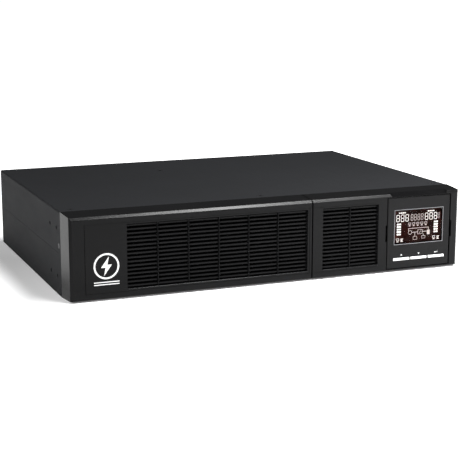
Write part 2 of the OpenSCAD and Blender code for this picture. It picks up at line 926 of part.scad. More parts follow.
module fan_rotor() {
    blades = 7;
    y0 = fan_y + 3.5;
    l = fan_d - 5.5;
    color([0.1, 0.1, 0.1])
        difference() {
            union() {
                rod_y([fan_x, y0, fan_z], 17, l);
                intersection() {
                    rod_y([fan_x, y0, fan_z], fan_bore - 1, l);
                    translate([fan_x, y0 + l / 2, fan_z])
                        for (i = [0:blades - 1])
                            rotate([0, i * 360 / blades, 0])
                                translate([27, 0, 0])
                                    rotate([38, 0, 0])
                                        cube([24, 1.4, 26], center = true);
                }
            }
            rod_y([fan_x, y0 - 1, fan_z], 2.55, l - 1);
        }
}

// Rings and crossing bars over the fan, with an eye at each screw.
module fan_guard() {
    y0 = y_rear + 0.8;
    wire = 1.5;
    reach = fan_hole * sqrt(2) - 3.85;
    color([0.75, 0.76, 0.78])
        union() {
            for (r = [12, 20, 28, 36])
                translate([fan_x, y0 + wire, fan_z])
                    rotate([90, 0, 0])
                        rotate_extrude()
                            translate([r - wire / 2, 0])
                                square(wire);
            for (a = [45, 135])
                translate([fan_x, y0 + wire, fan_z])
                    rotate([0, a, 0])
                        cube([2 * reach, wire, wire], center = true);
            for (i = [-1, 1], k = [-1, 1])
                difference() {
                    rod_y([fan_x + i * fan_hole, y_rear + 0.02, fan_z + k * fan_hole], 4.4, 1.7);
                    rod_y([fan_x + i * fan_hole, y_rear - 1, fan_z + k * fan_hole], 2.2, 4);
                }
        }
}

module fan_screws() {
    color([0.4, 0.4, 0.42])
        for (i = [-1, 1], k = [-1, 1]) {
            rod_y([fan_x + i * fan_hole, fan_y + 2, fan_z + k * fan_hole], 1.9, fan_d + sheet);
            rod_y([fan_x + i * fan_hole, y_rear + 1.74, fan_z + k * fan_hole], 3.6, 2.4);
        }
}

// The eight-cornered outline of a mains connector, wide side up.
module mains_outline(w, h, cut) {
    polygon([[-w / 2, h / 2], [w / 2, h / 2], [w / 2, -h / 2 + cut], [w / 2 - cut, -h / 2],
        [-w / 2 + cut, -h / 2], [-w / 2, -h / 2 + cut]]);
}

// A snap-in mains fitting behind a flange, with its cavity cut out.
module mains_body(x, z, cavity_d) {
    difference() {
        union() {
            block([x - 15.4, y_rear + 0.02, z - 12], [x + 15.4, y_rear + 2.4, z + 12]);
            block([x - 13.7, y_rear - 22, z - 10], [x + 13.7, y_rear + 1, z + 10]);
        }
        translate([x, 0, z])
            extrude_y(y_rear + 2.4 - cavity_d, cavity_d + 1)
                mains_outline(24.6, 17, 4);
    }
}

module inlet_shell() {
    color([0.07, 0.07, 0.07])
        mains_body(inlet_x, upper_z, 16);
}

module inlet_pins() {
    color([0.75, 0.75, 0.77])
        for (p = mains_pins)
            block([inlet_x + p[0] - 1, y_rear - 25, upper_z + p[1] - 2],
                [inlet_x + p[0] + 1, y_rear - 1, upper_z + p[1] + 2]);
}

module outlets() {
    color([0.07, 0.07, 0.07])
        for (x = outlet_xs, z = [lower_z, upper_z])
            union() {
                mains_body(x, z, 14);
                difference() {
                    translate([x, 0, z])
                        extrude_y(y_rear - 13, 14.6)
                            mains_outline(20.4, 12.8, 3);
                    for (p = mains_pins)
                        block([x + p[0] - 1.2, y_rear - 8, z + p[1] - 2.3],
                            [x + p[0] + 1.2, y_rear + 2, z + p[1] + 2.3]);
                }
            }
}

module breaker_body() {
    color([0.1, 0.1, 0.1])
        difference() {
            union() {
                rod_y([inlet_x, y_rear - 10, lower_z], 6, 13);
                block([inlet_x - 9, y_rear - 32, lower_z - 8],
                    [inlet_x + 9, y_rear - 10 + eps, lower_z + 8]);
                rod_y([inlet_x, y_rear + 0.02, lower_z], 9, 2, 6);
            }
            rod_y([inlet_x, y_rear - 12, lower_z], 3.6, 16);
        }
}

// Sits level in its collar, and stands out when the breaker has tripped.
module reset_button() {
    color([0.85, 0.85, 0.83])
        union() {
            rod_y([inlet_x, y_rear - 11.8, lower_z], 3.53, 15.2);
            rod_y([inlet_x, y_rear + 3.3, lower_z], 3, 0.8);
        }
}

module usb_port() {
    y1 = y_rear + 0.6;
    color([0.75, 0.76, 0.78])
        union() {
            difference() {
                block([usb_x - 6, y_rear - 16, port_z - 5.5], [usb_x + 6, y1, port_z + 5.5]);
                extrude_y(y1 - 9, 10)
                    polygon([[usb_x - 4.3, port_z - 4], [usb_x + 4.3, port_z - 4],
                        [usb_x + 4.3, port_z + 2.2],
                        [usb_x + 2.8, port_z + 3.9], [usb_x - 2.8, port_z + 3.9],
                            [usb_x - 4.3, port_z + 2.2]]);
            }
            block([usb_x - 2.8, y1 - 10, port_z - 1.6], [usb_x + 2.8, y1 - 0.8, port_z + 1.6]);
        }
}

module serial_port() {
    color([0.7, 0.71, 0.73])
        union() {
            extrude_y(y_rear - 10, 15)
                polygon([[serial_x - 8.5, port_z + 4], [serial_x + 8.5, port_z + 4],
                    [serial_x + 7, port_z - 4], [serial_x - 7, port_z - 4]]);
            block([serial_x - 15.4, y_rear + 0.02, port_z - 6.2],
                [serial_x + 15.4, y_rear + 0.8, port_z + 6.2]);
            for (side = [-1, 1])
                rod_y([serial_x + side * 12.5, y_rear + 0.5, port_z], 2.4, 4.6, 6);
        }
}

module network_ports() {
    y1 = y_rear + 0.6;
    color([0.12, 0.12, 0.13])
        difference() {
            block([network_x - 14.5, y_rear - 18, port_z - 7], [network_x + 14.5, y1, port_z + 7]);
            for (side = [-1, 1])
                translate([network_x + side * 7, 0, port_z]) {
                    block([-5.9, y1 - 14, -4.4], [5.9, y1 + 1, 3.4]);
                    block([-3, y1 - 14, -6], [3, y1 + 1, -4]);
                }
        }
}

module epo_terminal() {
    color([0.15, 0.5, 0.25])
        difference() {
            block([epo_x - 6.1, y_rear - 9, port_z - 4.6], [epo_x + 6.1, y_rear + 4, port_z + 4.6]);
            for (side = [-1, 1])
                rod_y([epo_x + side * 2.9, y_rear - 4, port_z - 1], 1.5, 9);
        }
}

module slot_cover() {
    color([0.14, 0.14, 0.15])
        difference() {
            block([slot_x - slot_w / 2, y_rear + 0.02, slot_z - slot_h / 2],
                [slot_x + slot_w / 2, y_rear + 1, slot_z + slot_h / 2]);
            for (side = [-1, 1])
                rod_y([slot_x + side * (slot_w / 2 - 4), y_rear - 1, slot_z], 1.6, 4);
        }
}

module slot_screws() {
    color([0.5, 0.5, 0.52])
        for (side = [-1, 1]) {
            rod_y([slot_x + side * (slot_w / 2 - 4), y_rear - 6, slot_z], screw_r, 8);
            rod_y([slot_x + side * (slot_w / 2 - 4), y_rear + 1.02, slot_z], 3.8, rear_out - 1.02);
        }
}

module earth_stud() {
    color([0.75, 0.65, 0.3])
        union() {
            rod_y([earth_x, y_rear - 6, earth_z], 2, 11);
            rod_y([earth_x, y_rear + 0.02, earth_z], 4.4, 2.6, 6);
        }
}

// ------------------------------------------------------------- electronics

module main_board() {
    color([0.1, 0.35, 0.2])
        difference() {
            block([board_x0, board_y0, board_z], [board_x1, board_y1, board_z + board_t]);
            for (p = posts_at)
                translate([p[0], p[1], 0])
                    cylinder(r = 1.6, h = 20);
        }
}

module board_posts() {
    color([0.75, 0.7, 0.45])
        for (p = posts_at)
            translate([p[0], p[1], sheet]) {
                cylinder(r = 3, h = board_z - sheet, $fn = 6);
                cylinder(r = 1.5, h = board_z - sheet + board_t + 1);
                translate([0, 0, part_z - sheet])
                    cylinder(r = 2.8, h = 1.8);
            }
}

// An aluminium fin block: a base plate with upright fins.
module fin_block(x0, y0, l) {
    z0 = part_z;
    block([x0, y0, z0], [x0 + 4, y0 + l, z0 + 46]);
    for (k = [0:6])
        block([x0 + 4 - eps, y0, z0 + 2 + k * 7], [x0 + 26, y0 + l, z0 + 3.4 + k * 7]);
}

module heat_sinks() {
    color([0.7, 0.71, 0.73]) {
        fin_block(board_x0 + 14, board_y0 + 60, 100);
        fin_block(board_x0 + 74, board_y0 + 60, 100);
    }
}

module transistors() {
    z0 = part_z;
    color([0.08, 0.08, 0.08])
        for (x = [board_x0 + 14, board_x0 + 74], i = [0:4])
            block([x - 4.6, board_y0 + 64 + i * 19, z0 + 4], [x - 0.02, board_y0 + 80 + i * 19, z0 + 24]);
}

module bulk_capacitors() {
    z0 = part_z;
    color([0.12, 0.13, 0.3])
        for (i = [0:3])
            translate([board_x0 + 126, board_y0 + 72 + i * 26, z0])
                cylinder(r = 11, h = 42);
}

// Ring-core chokes lying on the board.
module chokes() {
    z0 = part_z;
    color([0.7, 0.4, 0.15])
        for (x = [board_x0 + 28, board_x0 + 68])
            translate([x, board_y0 + 30, z0 + 8])
                rotate_extrude()
                    translate([11, 0])
                        circle(r = 8, $fn = 32);
}

module relays() {
    z0 = part_z;
    color([0.1, 0.1, 0.12])
        for (i = [0:3])
            block([board_x0 + 98 + i * 14, board_y0 + 12, z0],
                [board_x0 + 110 + i * 14, board_y0 + 40, z0 + 20]);
}

module charger_transformer() {
    z0 = part_z;
    x0 = board_x0 + 108;
    y0 = board_y0 + 174;
    color([0.55, 0.5, 0.2])
        union() {
            block([x0, y0 - 2, z0], [x0 + 34, y0 + 6, z0 + 34]);
            block([x0 + 4, y0 - 2, z0 + 6], [x0 + 30, y0 + 10, z0 + 28]);
        }
}

module control_card() {
    z0 = part_z;
    color([0.1, 0.3, 0.45])
        union() {
            block([board_x1 - 4, board_y0 + 20, z0], [board_x1 - 2.4, board_y0 + 150, z0 + 52]);
            block([board_x1 - 9, board_y0 + 60, z0 + 14], [board_x1 - 4 + eps, board_y0 + 76, z0 + 30]);
        }
}

// -------------------------------------------------------------------- nodes

base_tray();
top_cover();
rear_panel();
front_plate();
front_rail();
bay_divider();
bay_stop();
right_bezel();
bezel_filter();
ear_nuts();
side_screws();
top_screws();
bezel_screws();
panel_catches();
fan_frame();
fan_guard();
fan_screws();
inlet_shell();
inlet_pins();
outlets();
breaker_body();
usb_port();
serial_port();
network_ports();
epo_terminal();
slot_cover();
slot_screws();
earth_stud();
main_board();
board_posts();
heat_sinks();
transistors();
bulk_capacitors();
chokes();
relays();
charger_transformer();
control_card();
battery_receptacle();
rear_panel_screws();
battery_tray();
battery_blocks();
battery_tabs();
battery_clamp();
clamp_screws();
battery_links();
battery_plug();
tray_pull();
left_bezel();
door_filter();
display_housing();
display_window();
lcd_panel();
display_board();
display_screws();
display_ribbon();
button_up();
button_down();
button_enter();
fan_rotor();
reset_button();
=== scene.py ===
"""Looks of a two-unit uninterruptible power supply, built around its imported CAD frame.

Everything is in metres in the frame of the CAD: +X to the right, the front faces -Y and +Z is up.
"""

import json
import math

import bmesh
import bpy
from mathutils import Matrix, Vector

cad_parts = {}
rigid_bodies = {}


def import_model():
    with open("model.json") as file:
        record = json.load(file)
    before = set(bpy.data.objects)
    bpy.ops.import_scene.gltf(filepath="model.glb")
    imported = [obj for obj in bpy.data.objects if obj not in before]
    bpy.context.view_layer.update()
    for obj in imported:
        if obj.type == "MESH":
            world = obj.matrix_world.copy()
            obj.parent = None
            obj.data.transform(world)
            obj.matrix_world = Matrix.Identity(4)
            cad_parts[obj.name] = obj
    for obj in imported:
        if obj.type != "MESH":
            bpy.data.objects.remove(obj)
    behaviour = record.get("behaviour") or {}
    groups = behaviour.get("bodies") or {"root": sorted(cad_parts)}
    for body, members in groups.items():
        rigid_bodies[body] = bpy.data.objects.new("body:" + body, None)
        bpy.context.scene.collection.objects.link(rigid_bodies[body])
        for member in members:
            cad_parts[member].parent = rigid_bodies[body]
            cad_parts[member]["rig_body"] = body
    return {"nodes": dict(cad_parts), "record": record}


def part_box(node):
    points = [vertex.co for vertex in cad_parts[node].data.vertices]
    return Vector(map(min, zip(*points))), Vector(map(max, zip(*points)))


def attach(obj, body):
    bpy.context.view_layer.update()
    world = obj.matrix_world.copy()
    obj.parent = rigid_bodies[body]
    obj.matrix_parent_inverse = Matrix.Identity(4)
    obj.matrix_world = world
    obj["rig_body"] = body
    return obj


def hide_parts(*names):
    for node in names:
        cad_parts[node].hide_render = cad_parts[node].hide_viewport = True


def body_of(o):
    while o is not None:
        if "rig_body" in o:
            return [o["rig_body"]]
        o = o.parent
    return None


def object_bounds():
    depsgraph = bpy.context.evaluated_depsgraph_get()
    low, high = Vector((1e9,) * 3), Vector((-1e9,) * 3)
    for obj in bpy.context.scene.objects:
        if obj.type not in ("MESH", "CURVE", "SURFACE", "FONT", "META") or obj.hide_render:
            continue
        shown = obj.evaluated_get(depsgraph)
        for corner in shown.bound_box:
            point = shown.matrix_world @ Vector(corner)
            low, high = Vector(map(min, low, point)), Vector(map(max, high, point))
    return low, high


MM = 0.001
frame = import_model()
nodes = frame["nodes"]
cad_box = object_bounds()

# ---------------------------------------------------------------- shader kit


class Signal:
    """A shader socket that takes part in Python arithmetic."""

    def __init__(self, shader, socket):
        self.shader = shader
        self.socket = socket

    def combine(self, operation, first, second):
        return self.shader.node("ShaderNodeMath", {"operation": operation}, {0: first, 1: second})

    def __add__(self, other):
        return self.combine("ADD", self, other)

    def __radd__(self, other):
        return self.combine("ADD", other, self)

    def __mul__(self, other):
        return self.combine("MULTIPLY", self, other)

    def __rmul__(self, other):
        return self.combine("MULTIPLY", other, self)

    def __lt__(self, other):
        return self.combine("LESS_THAN", self, other)


NOISE_MIDDLE = (0.3, 0.7)


class Shader:
    """One material: a principled surface and the nodes that feed it."""

    def __init__(self, name, **constants):
        self.material = bpy.data.materials.new(name)
        self.material.use_nodes = True
        self.tree = self.material.node_tree
        self.surface = self.tree.nodes["Principled BSDF"]
        for key, value in constants.items():
            self.surface.inputs[key.replace("_", " ")].default_value = value

    def node(self, kind, settings=None, values=None, output=0):
        made = self.tree.nodes.new(kind)
        for key, value in (settings or {}).items():
            setattr(made, key, value)
        for key, value in (values or {}).items():
            self.put(made.inputs[key], value)
        return Signal(self, made.outputs[output])

    def put(self, socket, value):
        if isinstance(value, Signal):
            self.tree.links.new(value.socket, socket)
        else:
            socket.default_value = value

    def feed(self, **signals):
        for key, value in signals.items():
            self.put(self.surface.inputs[key.replace("_", " ")], value)
        return self

    def place(self, stretch=(1, 1, 1)):
        """Object coordinates in metres, stretched."""
        where = self.node("ShaderNodeTexCoord", output="Object")
        return self.node("ShaderNodeMapping", None, {"Vector": where, "Scale": stretch})

    def noise(self, scale, detail=3.0, roughness=0.55, stretch=(1, 1, 1)):
        return self.node("ShaderNodeTexNoise", None, {
            "Vector": self.place(stretch), "Scale": scale, "Detail": detail, "Roughness": roughness})

    def cells(self, scale, output="Distance"):
        return self.node("ShaderNodeTexVoronoi", None, {"Vector": self.place(), "Scale": scale}, output)

    def spread(self, signal, low, high, floor=0.0, top=1.0):
        """The signal's span from floor to top, laid over low to high and held there."""
        return self.node("ShaderNodeMapRange", {"clamp": True}, {
            "Value": signal, "From Min": floor, "From Max": top, "To Min": low, "To Max": high})

    def even(self, signal, low=0.0, high=1.0):
        """The middle of a noise, where nearly all of it lies, laid over low to high."""
        return self.spread(signal, low, high, *NOISE_MIDDLE)

    def mix(self, amount, first, second):
        return self.node("ShaderNodeMix", {"data_type": "RGBA"}, {
            "Factor": amount, 6: first, 7: second}, output=2)

    def bump(self, height, distance, strength=1.0):
        return self.node("ShaderNodeBump", None, {
            "Height": height, "Distance": distance, "Strength": strength})


def grey(value):
    return (value, value, value, 1.0)


def tint(red, green, blue):
    return (red, green, blue, 1.0)


def darker(colour, share):
    return tuple(c * share for c in colour[:3]) + (1.0,)


# ----------------------------------------------------------------- finishes


def textured_paint(name, colour, gloss):
    """Fine orange-peel paint on sheet steel, with faint handling marks."""
    s = Shader(name, Specular_IOR_Level=gloss)
    grain = s.noise(1500, 2.0)
    haze = s.noise(7, 4.0)
    rubs = s.noise(60, 5.0, 0.6, stretch=(1, 0.25, 1))
    tone = s.even(haze)
    return s.feed(
        Base_Color=s.mix(tone, darker(colour, 0.92), darker(colour, 1.08)),
        Roughness=s.spread(rubs, 0.70, 0.75, 0.35, 0.7) + 0.05 * grain,
        Normal=s.bump(grain, 0.05 * MM, 0.5),
    ).material


def moulding(name, colour, roughness, gloss, grain_size=0.45 * MM):
    """Spark-textured injection moulding."""
    s = Shader(name, Specular_IOR_Level=gloss)
    pits = s.cells(1 / grain_size)
    flow = s.noise(14, 3.0, stretch=(1, 1, 2.5))
    tone = s.even(flow)
    return s.feed(
        Base_Color=s.mix(tone, darker(colour, 0.85), darker(colour, 1.15)),
        Roughness=s.even(flow, roughness - 0.04, roughness + 0.05),
        Normal=s.bump(pits, 0.04 * MM, 0.35),
    ).material


def plated(name, colour, roughness, drawn=(1, 1, 1)):
    """Bright plated metal with drawing lines and dulled patches."""
    s = Shader(name)
    lines = s.noise(900, 2.0, 0.6, stretch=drawn)
    dull = s.noise(90, 4.0)
    tone = s.spread(dull, 0.0, 1.0, 0.35, 0.7)
    return s.feed(
        Base_Color=s.mix(tone, darker(colour, 0.72), colour),
        Metallic=s.spread(dull, 1.0, 0.92, 0.55, 0.75),
        Roughness=s.even(lines, roughness, roughness + 0.16),
        Normal=s.bump(lines, 0.02 * MM, 0.3),
    ).material


def spangled(name):
    """Zinc-plated sheet with its crystal flakes."""
    s = Shader(name)
    flake = s.cells(320, output="Color")
    level = s.node("ShaderNodeSeparateColor", None, {0: flake})
    grain = s.noise(1200, 2.0)
    return s.feed(
        Base_Color=s.mix(s.spread(level, 0.1, 0.9), tint(0.50, 0.51, 0.53), tint(0.60, 0.61, 0.62)),
        Metallic=s.spread(grain, 0.9, 1.0),
        Roughness=s.spread(level, 0.34, 0.42) + 0.05 * grain,
        Normal=s.bump(grain, 0.02 * MM, 0.3),
    ).material


def board_mask(name, colour, track):
    """Solder mask over copper tracks, with tinned pads."""
    s = Shader(name)
    cell = s.node("ShaderNodeTexBrick", {"offset": 0.35}, {
        "Vector": s.place(), "Scale": 90, "Mortar Size": 0.03,
        "Color1": grey(0), "Color2": grey(0.25), "Mortar": grey(1)})
    tracks = s.node("ShaderNodeSeparateColor", None, {0: cell})
    pads = s.cells(260) < 0.16
    masked = s.mix(s.spread(tracks, 0.0, 1.0), colour, track)
    return s.feed(
        Base_Color=s.mix(pads, masked, tint(0.62, 0.62, 0.60)),
        Metallic=pads * 0.9,
        Roughness=0.34 + 0.1 * s.noise(400),
        Normal=s.bump(tracks, 0.03 * MM, 0.5),
    ).material


def sleeve(name, colour, band):
    """Printed shrink sleeve or tape wound on a part, with wrap lines."""
    s = Shader(name)
    wraps = s.node("ShaderNodeTexWave", {"bands_direction": "Z"}, {
        "Vector": s.place(), "Scale": 120, "Distortion": 0.6, "Detail": 2.0})
    level = s.node("ShaderNodeSeparateColor", None, {0: wraps})
    return s.feed(
        Base_Color=s.mix(s.spread(level, 0.0, 0.5, 0.5, 1.0), colour, band),
        Roughness=0.3 + 0.15 * s.noise(300),
        Normal=s.bump(level, 0.03 * MM, 0.4),
    ).material


def winding(name):
    """Enamelled copper wire laid turn beside turn."""
    s = Shader(name)
    turns = s.node("ShaderNodeTexWave", {"bands_direction": "DIAGONAL", "wave_profile": "SIN"}, {
        "Vector": s.place(), "Scale": 260, "Distortion": 0.4})
    level = s.node("ShaderNodeSeparateColor", None, {0: turns})
    return s.feed(
        Base_Color=s.mix(level, tint(0.20, 0.06, 0.02), tint(0.72, 0.30, 0.12)),
        Metallic=s.spread(level, 0.5, 0.95),
        Roughness=0.24 + 0.12 * s.noise(500),
        Normal=s.bump(level, 0.25 * MM, 0.8),
    ).material


def clear_acrylic(name):
    """Clear window with a coat against reflections and faint wiping marks."""
    s = Shader(name, Transmission_Weight=1.0, IOR=1.04)
    wipes = s.noise(40, 4.0, 0.6, stretch=(0.3, 1, 1))
    return s.feed(
        Base_Color=s.mix(s.even(wipes), grey(0.93), grey(0.99)),
        Roughness=s.spread(wipes, 0.01, 0.035, 0.4, 0.7),
    ).material


def crystal_panel(name):
    """The display's dark glass, brown where the back light leaks through."""
    s = Shader(name, Specular_IOR_Level=0.03)
    leak = s.noise(45, 2.0)
    return s.feed(
        Base_Color=s.mix(s.even(leak), tint(0.008, 0.0016, 0.001), tint(0.016, 0.0032, 0.002)),
        Roughness=s.spread(leak, 0.25, 0.35),
        Normal=s.bump(leak, 0.01 * MM, 0.1),
    ).material


def shade_backing_foam(name):
    """Black open-cell foam: round cells between matt walls, near black so that it gives the shade seen
    through the grilles: painted shade.
    """
    s = Shader(name, Specular_IOR_Level=0.05)
    wall = s.spread(s.cells(700), 0.0, 1.0, 0.1, 0.6)
    return s.feed(
        Base_Color=s.mix(wall, grey(0.0005), grey(0.004)),
        Roughness=s.spread(wall, 0.8, 0.95),
        Normal=s.bump(wall, 0.4 * MM, 0.9),
    ).material


def lit(name, colour, strength):
    """Back-lit display segments, a little uneven along their length."""
    s = Shader(name, Emission_Strength=strength)
    uneven = s.even(s.noise(180, 2.0))
    return s.feed(
        Base_Color=s.mix(uneven, darker(colour, 0.7), colour),
        Emission_Color=s.mix(uneven, darker(colour, 0.8), colour),
        Roughness=s.spread(uneven, 0.4, 0.5),
    ).material


def ink(name, colour):
    """Screen-printed ink with a soft tooth, also used for the light line painted round the display window
    as a painted highlight.
    """
    s = Shader(name, Specular_IOR_Level=0.3)
    tooth = s.noise(2500, 2.0)
    return s.feed(
        Base_Color=s.mix(s.even(tooth), darker(colour, 0.88), colour),
        Roughness=s.spread(tooth, 0.45, 0.6),
        Normal=s.bump(tooth, 0.01 * MM, 0.3),
    ).material


FINISHES = {
    "case_paint": textured_paint("case_paint", tint(0.0088, 0.0092, 0.0103), 0.15),
    "bezel_plastic": moulding("bezel_plastic", tint(0.0034, 0.0034, 0.0036), 0.17, 0.085),
    "display_plastic": moulding("display_plastic", tint(0.0038, 0.0038, 0.0040), 0.19, 0.095),
    "window_acrylic": clear_acrylic("window_acrylic"),
    "lcd_glass": crystal_panel("lcd_glass"),
    "button_white": moulding("button_white", tint(0.86, 0.86, 0.85), 0.35, 0.5),
    "plated_steel": spangled("plated_steel"),
    "black_screw": plated("black_screw", tint(0.035, 0.035, 0.038), 0.36),
    "steel_screw": plated("steel_screw", tint(0.62, 0.62, 0.63), 0.26),
    "connector_black": moulding("connector_black", tint(0.016, 0.016, 0.017), 0.48, 0.4),
    "connector_grey": plated("connector_grey", tint(0.52, 0.53, 0.55), 0.34),
    "contact_metal": plated("contact_metal", tint(0.78, 0.74, 0.62), 0.2, drawn=(1, 0.1, 1)),
    "terminal_green": moulding("terminal_green", tint(0.02, 0.22, 0.08), 0.4, 0.45),
    "brass": plated("brass", tint(0.72, 0.52, 0.22), 0.24),
    "circuit_board": board_mask("circuit_board", tint(0.012, 0.10, 0.045), tint(0.03, 0.20, 0.08)),
    "card_blue": board_mask("card_blue", tint(0.012, 0.035, 0.14), tint(0.03, 0.08, 0.26)),
    "aluminium": plated("aluminium", tint(0.72, 0.73, 0.74), 0.28, drawn=(1, 0.05, 1)),
    "capacitor_sleeve": sleeve("capacitor_sleeve", tint(0.015, 0.017, 0.03), tint(0.05, 0.055, 0.08)),
    "copper_winding": winding("copper_winding"),
    "transformer_tape": sleeve("transformer_tape", tint(0.62, 0.46, 0.06), tint(0.74, 0.58, 0.12)),
    "battery_case": moulding("battery_case", tint(0.035, 0.036, 0.04), 0.46, 0.45, 0.9 * MM),
    "lead_red": moulding("lead_red", tint(0.42, 0.02, 0.02), 0.4, 0.5, 1.2 * MM),
    "ribbon": sleeve("ribbon", tint(0.48, 0.48, 0.46), tint(0.66, 0.66, 0.63)),
    "fan_plastic": moulding("fan_plastic", tint(0.017, 0.017, 0.018), 0.4, 0.45),
    "catch_nylon": moulding("catch_nylon", tint(0.62, 0.61, 0.56), 0.5, 0.4),
    "reset_white": moulding("reset_white", tint(0.7, 0.7, 0.68), 0.38, 0.5),
    # The foam behind the grilles is near black: painted shade for the dark seen through the gaps.
    "filter_foam": shade_backing_foam("filter_foam"),
}
SEGMENT_LIGHT = lit("segment_light", tint(0.95, 0.93, 0.90), 0.46)
SEGMENT_DIM = lit("segment_dim", tint(0.52, 0.46, 0.45), 0.42)
WHITE_INK = ink("white_ink", tint(0.72, 0.72, 0.72))
# A light grey line round the display window: a painted highlight on the window's edge, made with the ink
# finish.
WINDOW_EDGE_HIGHLIGHT = ink("painted_window_edge_highlight", tint(0.20, 0.20, 0.21))

slot_of = {part["node"]: part["material_slot"] for part in frame["record"]["subparts"]}


def finish(piece, material):
    """Gives a piece its one material."""
    piece.data.materials.clear()
    piece.data.materials.append(material)


for node_name, node_piece in nodes.items():
    finish(node_piece, FINISHES[slot_of[node_name]])

# ------------------------------------------------------------ modelling kit


def piece_from(bm, name, body, material):
    """Turns a bmesh into a piece that rides on a body."""
    mesh = bpy.data.meshes.new(name)
    bm.to_mesh(mesh)
    bm.free()
    made = bpy.data.objects.new(name, mesh)
    bpy.context.scene.collection.objects.link(made)
    finish(made, material)
    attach(made, body)
    return made


def edges_at(verts):
    """Each edge that ends at one of some vertices, once and in a steady order."""
    return list(dict.fromkeys(e for v in verts for e in v.link_edges))


def add_block(bm, low, high, ease=0.0, segments=2):
    """A block between two corners, with eased edges."""
    low, high = Vector(low), Vector(high)
    size = high - low
    place = Matrix.Translation((low + high) / 2) @ Matrix.Diagonal((size.x, size.y, size.z, 1.0))
    made = bmesh.ops.create_cube(bm, size=1.0, matrix=place)
    if ease:
        bmesh.ops.bevel(bm, geom=edges_at(made["verts"]), offset=ease, offset_type="OFFSET",
                        segments=segments, profile=0.5, affect="EDGES", clamp_overlap=True, material=-1)


def thicken(bm, faces, thickness):
    """Gives flat faces a thickness towards -Y, closed all round."""
    grown = bmesh.ops.extrude_face_region(bm, geom=faces)
    front = [v for v in grown["geom"] if isinstance(v, bmesh.types.BMVert)]
    bmesh.ops.translate(bm, verts=front, vec=(0, -thickness, 0))
    shell = dict.fromkeys([*faces, *(f for v in front for f in v.link_faces)])
    bmesh.ops.recalc_face_normals(bm, faces=list(shell))


def add_plate(bm, points, y, thickness):
    """A thin plate facing -Y from its outline in X and Z, with its back at y."""
    thicken(bm, [bm.faces.new([bm.verts.new((x, y, z)) for x, z in points])], thickness)


def add_rectangle(bm, x0, z0, x1, z1, y, thickness):
    """A thin rectangle facing -Y."""
    add_plate(bm, [(x0, z0), (x1, z0), (x1, z1), (x0, z1)], y, thickness)


def add_border(bm, x0, z0, x1, z1, width, y, thickness):
    """Four strips round a rectangle, inside its edges."""
    add_rectangle(bm, x0, z0, x1, z0 + width, y, thickness)
    add_rectangle(bm, x0, z1 - width, x1, z1, y, thickness)
    add_rectangle(bm, x0, z0 + width, x0 + width, z1 - width, y, thickness)
    add_rectangle(bm, x1 - width, z0 + width, x1, z1 - width, y, thickness)


def add_ring(bm, x, z, outer, inner, y, thickness, sides=48):
    """A flat ring facing -Y, with its back at y."""
    turn = Matrix.Translation((x, y, z)) @ Matrix.Rotation(math.pi / 2, 4, "X")
    loops = []
    for radius in (outer, inner):
        made = bmesh.ops.create_circle(bm, segments=sides, radius=radius, matrix=turn)
        loops += edges_at(made["verts"])
    thicken(bm, bmesh.ops.bridge_loops(bm, edges=loops)["faces"], thickness)


def add_rod(bm, start, end, radius, sides=16):
    """A round rod between two points."""
    start, end = Vector(start), Vector(end)
    along = end - start
    place = Matrix.Translation((start + end) / 2) @ along.to_track_quat("Z", "Y").to_matrix().to_4x4()
    bmesh.ops.create_cone(bm, cap_ends=True, segments=sides, radius1=radius, radius2=radius,
                          depth=along.length, matrix=place)


WELD = 0.002 * MM
ON_PLANE = 0.05 * MM
FLAT_ANGLE = math.radians(0.5)
CORNER_ANGLE = math.radians(25)


def on_lines(edge, axis, places):
    """Whether both ends of an edge lie on one of some planes across an axis."""
    return any(all(abs(v.co[axis] - place) < ON_PLANE for v in edge.verts) for place in places)


def eased_copy(node, name, *rounds, trim=None):
    """A welded copy of a CAD node that stands for it, with the edges that each pick finds rounded."""
    bm = bmesh.new()
    bm.from_mesh(nodes[node].data)
    bmesh.ops.remove_doubles(bm, verts=bm.verts, dist=WELD)
    bmesh.ops.dissolve_limit(bm, angle_limit=FLAT_ANGLE, verts=bm.verts, edges=bm.edges,
                             use_dissolve_boundaries=False)
    if trim:
        trim(bm)
    for width, shortest, pick in rounds:
        edges = [e for e in bm.edges if e.is_convex and e.calc_face_angle(0) > CORNER_ANGLE
                 and e.calc_length() > shortest and pick(e)]
        bmesh.ops.bevel(bm, geom=edges, offset=width, offset_type="OFFSET", segments=3, profile=0.5,
                        affect="EDGES", clamp_overlap=True, material=-1)
    bmesh.ops.remove_doubles(bm, verts=bm.verts, dist=WELD)
    bmesh.ops.triangulate(bm, faces=bm.faces)
    made = piece_from(bm, name, body_of(nodes[node])[0], FINISHES[slot_of[node]])
    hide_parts(node)


# -------------------------------------------------------------- the bezels

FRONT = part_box("left_bezel")[0].y
CASE_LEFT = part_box("top_cover")[0].x
FOLD_Y = (FRONT, FRONT + 1.0 * MM, FRONT + 2.6 * MM)
RECESS_Z = (10.1 * MM, 75.22 * MM)
LOUVRE_Y = FRONT + 3.2 * MM
LOUVRE_PITCH = 4.07 * MM
LOUVRE_GAP = 1.97 * MM
LOUVRE_SLOPE = 1.4 * MM
LOUVRE_LIFT = 0.55 * MM
GROOVE_Z = (7.75 * MM, 8.25 * MM, 76.95 * MM, 77.45 * MM)
POCKET_Z = (3.4 * MM, 81.6 * MM)
LONG_FOLD = 75 * MM
TALLEST_RECESS = 65.5 * MM
HOUSING_CHAMFER = 0.6 * MM


def sharpen_louvres(bm):
    """Lifts the front edge of each louvre's slope, to leave only a narrow slope."""
    for v in bm.verts:
        if abs(v.co.y - LOUVRE_Y) < 0.02 * MM and RECESS_Z[0] < v.co.z < RECESS_Z[1]:
            above = (v.co.z - RECESS_Z[0] - LOUVRE_GAP / 2) % LOUVRE_PITCH
            if abs(above - LOUVRE_SLOPE) < 0.1 * MM:
                v.co.z += LOUVRE_LIFT


